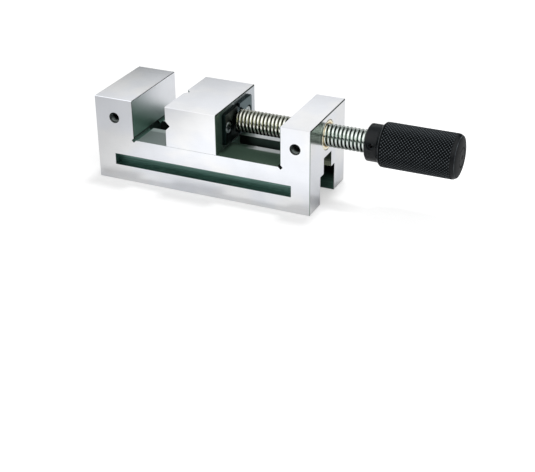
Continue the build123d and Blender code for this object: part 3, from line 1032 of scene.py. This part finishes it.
SURROUND_RADIUS = 1.2
SURROUND_TOP = 0.95
SURROUND_SIDES = 96
SURROUND_COLOR = (0.020, 0.030, 0.027)
# Heights between which the cloth gives way to white, and how they change round the vise
FADE_RANGE = (0.410, 0.535)
MIDDLE_RISE, MIDDLE_RANGE = 0.055, (-0.50, 0.10)
RIGHT_RISE, RIGHT_RANGE, RIGHT_REAR_RANGE = 0.25, (0.12, 0.34), (0.10, 0.60)
FRONT_DROP, FRONT_RIGHT_DROP, FRONT_RANGE = -0.09, -0.24, (-0.15, 0.45)
FRONT_END_RANGE = (0.30, 0.85)


def surround_cloth():
    """Dark cloth that gives way to the white above it, higher at the back and lower in front."""
    s = Shader("surround_cloth")
    x, y = s.x, s.y
    right = s.times(s.step(x, *RIGHT_RANGE, 0.0, RIGHT_RISE), s.step(y, *RIGHT_REAR_RANGE))
    front = s.step(x, *FRONT_RANGE, FRONT_DROP, FRONT_RIGHT_DROP)
    front = s.times(front, s.step(y, *FRONT_END_RANGE, 1.0, 0.0))
    rise = s.add(s.add(s.step(x, *MIDDLE_RANGE, 0.0, MIDDLE_RISE), right), front)
    fade = s.step(s.minus(s.z, rise), *FADE_RANGE)
    cloth = s.new("ShaderNodeEmission", Color=SURROUND_COLOR)
    clear = s.new("ShaderNodeBsdfTransparent")
    s.surface(s.new("ShaderNodeMixShader", fade, cloth.outputs[0], clear.outputs[0]))
    return s.material


def build_surround():
    count = SURROUND_SIDES
    angles = [tau * i / count for i in range(count)]
    circle = [(SURROUND_RADIUS * cos(a), SURROUND_RADIUS * sin(a)) for a in angles]
    points = [(x, y, z) for z in (0.0, SURROUND_TOP) for x, y in circle]
    faces = [(i, (i + 1) % count, count + (i + 1) % count, count + i) for i in range(count)]
    obj = plain_mesh("surround", points, faces, surround_cloth())
    hide_but_in_gloss(obj)
    return obj


build_surround()

FLAG_COLOR = (0.30, 0.32, 0.315)
FLAG_CORNERS = [(-1.3, 0.95, 0.66), (1.1, 0.95, 0.66), (-0.20, 0.15, 1.05), (-1.0, 0.15, 1.05)]


def flag_cloth():
    s = Shader("flag_cloth")
    s.surface(s.new("ShaderNodeEmission", Color=FLAG_COLOR))
    return s.material


rear_flag = plain_mesh("rear_flag", FLAG_CORNERS, [(0, 1, 2, 3)], flag_cloth())
hide_but_in_gloss(rear_flag)

# White for the camera and for gloss, and a plain level on what is lit by it
WORLD_LIGHT = 0.54
world = bpy.data.worlds.new("studio")
bpy.context.scene.world = world
world.use_nodes = True
sky = Nodes(world.node_tree, "ShaderNodeOutputWorld")
seen = sky.either(sky.ray("Camera"), sky.ray("Glossy"), sky.ray("Transmission"))
sky.surface(sky.new("ShaderNodeBackground", Color=(1, 1, 1), Strength=sky.step(seen, 0, 1, WORLD_LIGHT, 1.0)))

LAMP_TARGET = (0, 0, 0.03)


def area_lamp(name, place, size, power, target=LAMP_TARGET):
    data = bpy.data.lights.new(name, "AREA")
    data.shape = "DISK"
    data.size = size
    data.energy = power
    lamp = add_object(name, data)
    lamp.location = place
    lamp.rotation_euler = (Vector(target) - Vector(place)).to_track_quat("-Z", "Y").to_euler()
    return lamp


# High and a little behind: it lays the soft shadow in front of the vise
top_light = area_lamp("top_light", (-0.03, 0.19, 0.95), 0.16, 3.6, (-0.03, 0, 0.03))
top_light.visible_glossy = False
area_lamp("key_light", (0.45, -0.35, 0.80), 0.55, 0.8)
area_lamp("fill_light", (-0.55, -0.50, 0.60), 0.60, 0.4)

# Camera, at the place solved from the photograph
camera_data = bpy.data.cameras.new("camera")
camera_data.sensor_width = 36.0
camera_data.lens = 81.083
camera = add_object("camera", camera_data)
camera.location = (0.245969, -0.554415, 0.297368)
camera.rotation_euler = (1.075569, 0.009193, 0.425379)
bpy.context.scene.camera = camera
bpy.context.scene.view_settings.view_transform = "Standard"
